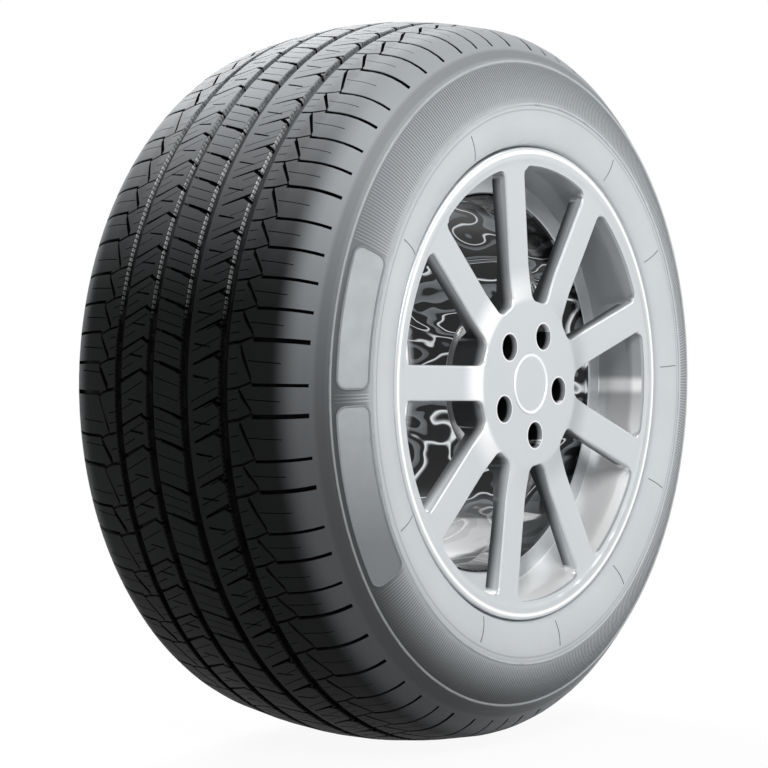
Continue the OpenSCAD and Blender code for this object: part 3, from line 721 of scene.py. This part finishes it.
def slot_ends():
    """The short wide notches in which the slots of the three middle ribs run out into the grooves."""
    sipe((0.0495, 2.1), (0.0568, 2.75), 0.006, 0.0032)
    sipe((-0.0312, 4.4), (-0.0232, 5.1), 0.006, 0.0032)
    sipe((0.0065, 4.15), (0.0158, 4.8), 0.006, 0.0036)
    sipe((-0.0158, 3.05), (-0.0095, 3.38), 0.005, 0.002)


def sipe_set(share, medium):
    """All sipes of one pitch of the tread, as one mesh."""
    deselect()
    bpy.ops.mesh.primitive_cube_add(size=0.001)
    blades = bpy.context.object
    bpy.ops.object.mode_set(mode="EDIT")
    bpy.ops.mesh.delete(type="VERT")
    half_sipes(False, share * medium)
    half_sipes(True, share * medium)
    centre_sipes(share * medium)
    slot_ends()
    bpy.ops.object.mode_set(mode="OBJECT")
    choose(blades)
    bpy.ops.object.transform_apply(location=True, rotation=True, scale=True)
    return blades


def tread_sipes():
    """The sipes of every pitch round the tyre, in one mesh."""
    shares = [PITCH_SHARE[letter] for letter in PITCH_ORDER]
    medium = 360 / sum(shares)
    sets = {letter: sipe_set(share, medium) for letter, share in PITCH_SHARE.items()}
    angle = PITCH_START
    placed = []
    for letter, share in zip(PITCH_ORDER, shares):
        placed.append(moved_copy(sets[letter], about_axle(angle)))
        angle += share * medium
    for blades in sets.values():
        bpy.data.objects.remove(blades)
    return joined(placed, "tread_sipes")


def tread_facing(point):
    """Which way the smooth outline of the tread and shoulder faces at a point on it."""
    lean = math.asin(CROWN_HALF / CROWN_ARC)
    across, radius = abs(point.y), math.hypot(point.x, point.z)
    middle = (0, TYRE_R - CROWN_ARC)
    if across > CROWN_HALF:
        middle = (CROWN_HALF - SHOULDER_ARC * math.sin(lean),
                  TYRE_R - CROWN_ARC + (CROWN_ARC - SHOULDER_ARC) * math.cos(lean))
    if across > SHOULDER_HALF:
        middle = (SECTION_HALF - SIDE_ARC, SIDE_MID_R)
    way = Vector((across - middle[0], radius - middle[1])).normalized()
    return Vector((way.y * point.x / radius, math.copysign(way.x, point.y), way.y * point.z / radius))


def follow_outline(tyre):
    """Shades the tops of the tread blocks as the one smooth outline that they were cut from."""
    mesh = tyre.data
    shading = [corner.vector.copy() for corner in mesh.corner_normals]
    for face in mesh.polygons:
        middle = face.center
        if math.hypot(middle.x, middle.z) < TOP_R or tread_facing(middle).dot(face.normal) < TOP_COSINE:
            continue
        for corner, vertex in zip(face.loop_indices, face.vertices):
            shading[corner] = tread_facing(mesh.vertices[vertex].co)
    mesh.normals_split_custom_set(shading)


def sliced_tyre(ribs):
    """The tyre of the frame with the fine sipes cut into its tread blocks and into the groove ribs."""
    tyre = cast_copy("tyre", "tyre_with_sipes")
    blades = tread_sipes()
    for piece in (tyre, ribs):
        apply(piece, "BOOLEAN", operation="DIFFERENCE", object=blades, solver="MANIFOLD")
    bpy.data.objects.remove(blades)
    choose(tyre)
    bpy.ops.object.shade_smooth_by_angle(angle=math.radians(24))
    apply(tyre, "WEIGHTED_NORMAL", keep_sharp=True)
    follow_outline(tyre)
    return tyre


def trace(name, lines, thickness):
    """Low round beads that are half sunk in the sidewall, one along each line of points."""
    curve = bpy.data.curves.new(name, "CURVE")
    curve.dimensions = "3D"
    curve.bevel_depth = thickness
    curve.bevel_resolution = 1
    curve.use_fill_caps = True
    for points, closed in lines:
        spline = curve.splines.new("POLY")
        spline.points.add(len(points) - 1)
        for point, place in zip(spline.points, points):
            point.co = (*place, 1)
        spline.use_cyclic_u = closed
    bead = bpy.data.objects.new(name, curve)
    bpy.context.scene.collection.objects.link(bead)
    choose(bead)
    bpy.ops.object.convert(target="MESH")
    bpy.ops.object.shade_smooth_by_angle(angle=math.radians(40))
    return bead


def panel_point(panel, x, y, proud=0.0):
    """A point of a panel. x and y run from -1 to 1 along it and across it, and its corners are rounded."""
    inner, outer, start, end = panel
    middle, half_width = (inner + outer) / 2, (outer - inner) / 2
    half_length = math.radians((end - start) / 2) * middle
    over = Vector((max(0, abs(x) * half_length - half_length + PANEL_CORNER),
                   max(0, abs(y) * half_width - half_width + PANEL_CORNER)))
    if over.x > 0 and over.y > 0:
        pulled = over * (max(over) / over.length)
        x -= math.copysign((over.x - pulled.x) / half_length, x)
        y -= math.copysign((over.y - pulled.y) / half_width, y)
    place = on_side(middle + y * half_width, (start + end) / 2 + x * (end - start) / 2)
    return place - Vector((0, proud, 0))


def panel_line(panel):
    """Points round the edge of a panel."""
    walk = [i / 40 for i in range(-40, 40)]
    edge = [(x, -1) for x in walk] + [(1, y) for y in walk]
    edge += [(-x, 1) for x in walk] + [(-1, -y) for y in walk]
    return [panel_point(panel, x, y, FRAME_PROUD) for x, y in edge]


def bare_panels():
    """The two bare panels of the outer sidewall, low plates that follow it, inside their frames."""
    plates = []
    for panel in PANELS:
        deselect()
        bpy.ops.mesh.primitive_grid_add(x_subdivisions=80, y_subdivisions=16, size=2)
        plate = bpy.context.object
        for vertex in plate.data.vertices:
            vertex.co = panel_point(panel, vertex.co.x, vertex.co.y)
        plate.data.flip_normals()
        apply(plate, "SOLIDIFY", thickness=PANEL_PLATE, offset=0)
        plates.append(plate)
    panels = joined(plates, "bare_panels")
    bpy.ops.object.mode_set(mode="EDIT")
    bpy.ops.mesh.select_all(action="SELECT")
    bpy.ops.mesh.normals_make_consistent(inside=False)
    bpy.ops.object.mode_set(mode="OBJECT")
    bpy.ops.object.shade_smooth_by_angle(angle=math.radians(40))
    return panels


def sidewall_marks():
    """Thin radial ticks on both sides, and the frames of the two bare panels on the outer side."""
    ticks = []
    for angle in TICK_ANGLES:
        for side in (-1, 1):
            sunk = Vector((0, side * TICK_SUNK, 0))
            line = [on_side(TICK_IN + TICK_LENGTH * i / 10, angle, side) - sunk for i in range(11)]
            ticks.append((line, False))
    frames = [(panel_line(panel), True) for panel in PANELS]
    return joined([trace("sidewall_ticks", ticks, TICK_R), trace("panel_frames", frames, FRAME_R)],
                  "sidewall_marks")


def hatch_rib(side):
    """One fine radial rib of the hatched band, a low three-sided bar that follows the sidewall."""
    deselect()
    bpy.ops.mesh.primitive_cylinder_add(vertices=3, radius=HATCH_RIB_R, depth=HATCH_OUT - HATCH_IN,
                                        location=((HATCH_IN + HATCH_OUT) / 2, 0, 0),
                                        rotation=(0, math.radians(90), 0))
    rib = bpy.context.object
    bpy.ops.object.transform_apply(location=True, rotation=True, scale=True)
    bpy.ops.object.mode_set(mode="EDIT")
    for i in range(1, HATCH_BENDS):
        cut = HATCH_IN + (HATCH_OUT - HATCH_IN) * i / HATCH_BENDS
        bpy.ops.mesh.select_all(action="SELECT")
        bpy.ops.mesh.bisect(plane_co=(cut, 0, 0), plane_no=(1, 0, 0))
    bpy.ops.object.mode_set(mode="OBJECT")
    for vertex in rib.data.vertices:
        vertex.co.y += side * (side_y(vertex.co.x) - HATCH_SUNK)
    return rib


def in_panel(angle):
    """Whether a rib of the hatched band at this angle would run over a panel."""
    return any(start - PANEL_MARGIN < angle < end + PANEL_MARGIN for _, _, start, end in PANELS)


def hatched_band():
    """The fine radial ribs of the hatched band on both sidewalls. The outer side leaves the panels bare."""
    placed = []
    for side in (-1, 1):
        rib = hatch_rib(side)
        for i in range(round(360 / HATCH_STEP)):
            if side > 0 or not in_panel(i * HATCH_STEP):
                placed.append(moved_copy(rib, about_axle(i * HATCH_STEP)))
        bpy.data.objects.remove(rib)
    return joined(placed, "hatched_band")


def wall_ribs():
    """The row of short ribs near the top of every groove wall that faces the outer side."""
    deselect()
    bpy.ops.mesh.primitive_cube_add(size=1)
    rib = bpy.context.object
    shape = Matrix.Diagonal((*WALL_RIB_SIZE, 1))
    lean = Matrix.Rotation(math.radians(WALL_LEAN), 4, "Z")
    placed = []
    for groove in (-GROOVES[1], -GROOVES[0], GROOVES[0], GROOVES[1]):
        wall = groove + GROOVE_HALF
        place = Matrix.Translation((crown_radius(wall) - WALL_RIB_SUNK, wall + 0.0002, 0))
        for i in range(round(360 / WALL_RIB_STEP)):
            if abs(i * WALL_RIB_STEP - STRAIGHT_DOWN) >= FLAT_ANGLE:
                placed.append(moved_copy(rib, about_axle(i * WALL_RIB_STEP) @ place @ lean @ shape))
    bpy.data.objects.remove(rib)
    return joined(placed, "groove_wall_ribs")


def on_front(point):
    """Whether an edge of the wheel at this point belongs to the windows of its face."""
    radius = math.hypot(point.x, point.z)
    return point.y < HUB_Y + FACE_DEPTH and FACE_EDGES[0] < radius < FACE_EDGES[1]


def finished_wheel():
    """The cast wheel with the edges of its face rounded as the casting and the lathe leave them."""
    wheel = cast_copy("wheel", "wheel_with_rounded_edges")
    apply(wheel, "DECIMATE", decimate_type="DISSOLVE", angle_limit=math.radians(1.0))
    apply(wheel, "TRIANGULATE", ngon_method="BEAUTY", min_vertices=5)
    choose(wheel)
    bpy.ops.object.mode_set(mode="EDIT")
    bpy.ops.mesh.select_all(action="DESELECT")
    bpy.ops.mesh.select_mode(type="EDGE")
    bpy.ops.mesh.edges_select_sharp(sharpness=math.radians(38))
    mesh = bmesh.from_edit_mesh(wheel.data)
    for edge in mesh.edges:
        if edge.select and not all(on_front(vertex.co) for vertex in edge.verts):
            edge.select = False
    mesh.select_flush_mode()
    bmesh.update_edit_mesh(wheel.data)
    bpy.ops.mesh.bevel(offset=EDGE_ROUND, segments=4, affect="EDGES", clamp_overlap=False)
    bpy.ops.object.mode_set(mode="OBJECT")
    apply(wheel, "DECIMATE", decimate_type="DISSOLVE", angle_limit=math.radians(0.5))
    choose(wheel)
    bpy.ops.object.shade_smooth_by_angle(angle=math.radians(30))
    apply(wheel, "WEIGHTED_NORMAL", keep_sharp=True, weight=100)
    shade_flat_faces(wheel.data)
    return wheel


def shade_flat_faces(mesh):
    """Shades the flat sides of the spokes and of the hub as flat, up to their rounded edges."""
    shading = [corner.vector.copy() for corner in mesh.corner_normals]
    for face in mesh.polygons:
        middle = face.center
        spoke = (SPOKE_Y[0] < middle.y < SPOKE_Y[1]
                 and SPOKE_R[0] < math.hypot(middle.x, middle.z) < SPOKE_R[1])
        if (spoke and face.area > FLAT_AREA) or abs(face.normal.y) > 0.9999:
            for corner in face.loop_indices:
                shading[corner] = face.normal.copy()
    mesh.normals_split_custom_set(shading)


def studio():
    """White floor and surroundings, and three large soft lights that face the wheel."""
    world = bpy.data.worlds.new("studio")
    bpy.context.scene.world = world
    world.use_nodes = True
    tree = world.node_tree
    tree.nodes.clear()
    path = add(tree, "ShaderNodeLightPath")
    seen = add(tree, "ShaderNodeMath",
               {0: path.outputs["Is Camera Ray"], 1: path.outputs["Is Glossy Ray"]}, operation="MAXIMUM")
    seen = add(tree, "ShaderNodeMath", {0: seen, 1: path.outputs["Is Transmission Ray"]}, operation="MAXIMUM")
    strength = add(tree, "ShaderNodeMapRange", {"Value": seen, "To Min": 0.2, "To Max": 1.0})
    light = add(tree, "ShaderNodeBackground", {"Color": linear("#ffffff"), "Strength": strength})
    add(tree, "ShaderNodeOutputWorld", {"Surface": light})

    bpy.ops.mesh.primitive_plane_add(size=30, location=(0, 0, TYRE_LOW.z - 0.0002))
    floor = bpy.context.object
    floor.name = "floor"
    material, tree = new_material("white_floor")
    path = add(tree, "ShaderNodeLightPath")
    seen = add(tree, "ShaderNodeMath",
               {0: path.outputs["Is Camera Ray"], 1: path.outputs["Is Glossy Ray"]}, operation="MAXIMUM")
    place = add(tree, "ShaderNodeTexCoord").outputs["Object"]
    far = add(tree, "ShaderNodeVectorMath", {0: place}, operation="LENGTH")
    glow_share = add(tree, "ShaderNodeMapRange",
                     {"Value": far.outputs["Value"], "From Min": 0.5, "From Max": 2.5, "To Min": 0.93,
                      "To Max": 1.0})
    share = add(tree, "ShaderNodeMath", {0: seen, 1: glow_share}, operation="MULTIPLY")
    diffuse = add(tree, "ShaderNodeBsdfDiffuse", {"Color": linear("#f4f4f4")})
    glow = add(tree, "ShaderNodeEmission", {"Color": linear("#ffffff"), "Strength": 1.0})
    mix = add(tree, "ShaderNodeMixShader", {0: share, 1: diffuse, 2: glow})
    surface(tree, mix)
    floor.data.materials.append(material)

    for light in SOFT_BOXES:
        soft_box(*light)


def soft_box(name, place, size, power):
    """A square area light that faces the wheel centre."""
    data = bpy.data.lights.new(name, "AREA")
    data.shape = "SQUARE"
    data.size = size
    data.energy = power
    lamp = bpy.data.objects.new(name, data)
    bpy.context.scene.collection.objects.link(lamp)
    lamp.location = place
    lamp.rotation_euler = (-Vector(place)).to_track_quat("-Z", "Y").to_euler()


def camera():
    """The camera of the photo."""
    round_way, rise = math.radians(CAMERA_AZIMUTH), math.radians(CAMERA_ELEVATION)
    back = Vector((math.sin(round_way) * math.cos(rise), -math.cos(round_way) * math.cos(rise),
                   math.sin(rise)))
    right = Vector((math.cos(round_way), math.sin(round_way), 0))
    up = back.cross(right)
    place = back * CAMERA_DISTANCE
    aim = -right * AIM_LEFT - up * AIM_DOWN
    data = bpy.data.cameras.new("camera")
    data.lens = CAMERA_LENS
    data.sensor_width = 36
    eye = bpy.data.objects.new("camera", data)
    bpy.context.scene.collection.objects.link(eye)
    eye.location = place
    eye.rotation_euler = (aim - place).to_track_quat("-Z", "Y").to_euler()
    bpy.context.scene.camera = eye


deselect()
bpy.context.scene.view_settings.view_transform = "Standard"
camera()
studio()

silver = silver_lacquer()
ribs = wall_ribs()
tyre = sliced_tyre(ribs)
marks = sidewall_marks()
plates = bare_panels()
hatch = hatched_band()
wheel = finished_wheel()
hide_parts("tyre")
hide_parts("wheel")
for piece, material in ((tyre, moulded_rubber()), (marks, mark_rubber()), (plates, panel_rubber()),
                        (hatch, moulded_rubber("hatch_rubber", 0.0)), (ribs, highlit_groove_ribs())):
    dress(piece, material)
    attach(piece, "root")
dress(wheel, silver)
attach(wheel, "root")
for node, material in (("centre_cap", silver),
                       ("valve_stem", plain_plastic("valve_rubber", "#1c1d1e", 0.6)),
                       ("valve_core", turned_brass()),
                       ("valve_cap", plain_plastic("valve_cap_plastic", "#1d1e20", 0.4))):
    dress(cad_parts[node], material)
